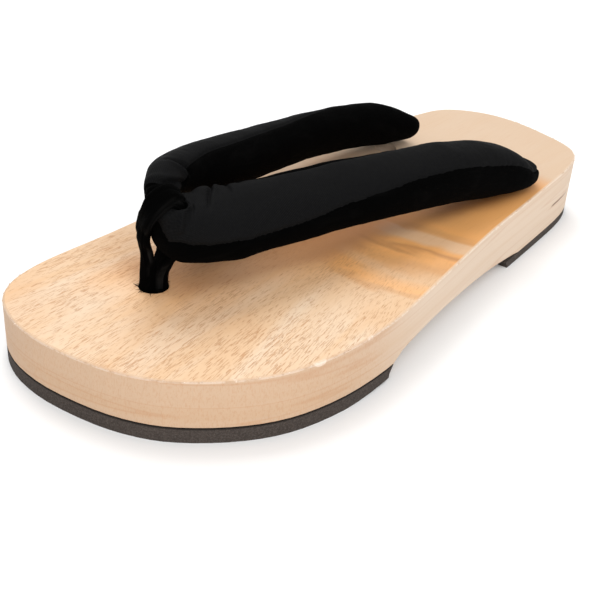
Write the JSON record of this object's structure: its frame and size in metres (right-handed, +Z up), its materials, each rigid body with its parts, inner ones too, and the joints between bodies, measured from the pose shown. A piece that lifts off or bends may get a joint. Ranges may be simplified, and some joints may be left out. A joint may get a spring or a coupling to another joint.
{
  "type": "geta sandal",
  "caption": "Left wooden geta sandal with padded black straps, a toe loop, an arched one-piece base and rubber treads.",
  "frame": {"origin": "on the ground, under the middle of the box around the sandal", "axes": "+X towards the toe, +Y towards the wearer's left (the outer side), +Z up"},
  "size_m": [0.255, 0.104, 0.0593],
  "materials": {
    "wood": "bare, smoothly planed",
    "tread_rubber": "matt foam rubber sheet",
    "strap_cloth": "soft satin over padding",
    "loop_velvet": "short-pile velvet"
  },
  "bodies": {
    "root": {"sole": "wood", "front_tread": "tread_rubber", "heel_tread": "tread_rubber", "straps": "strap_cloth", "toe_loop": "loop_velvet"}
  },
  "joints": []
}
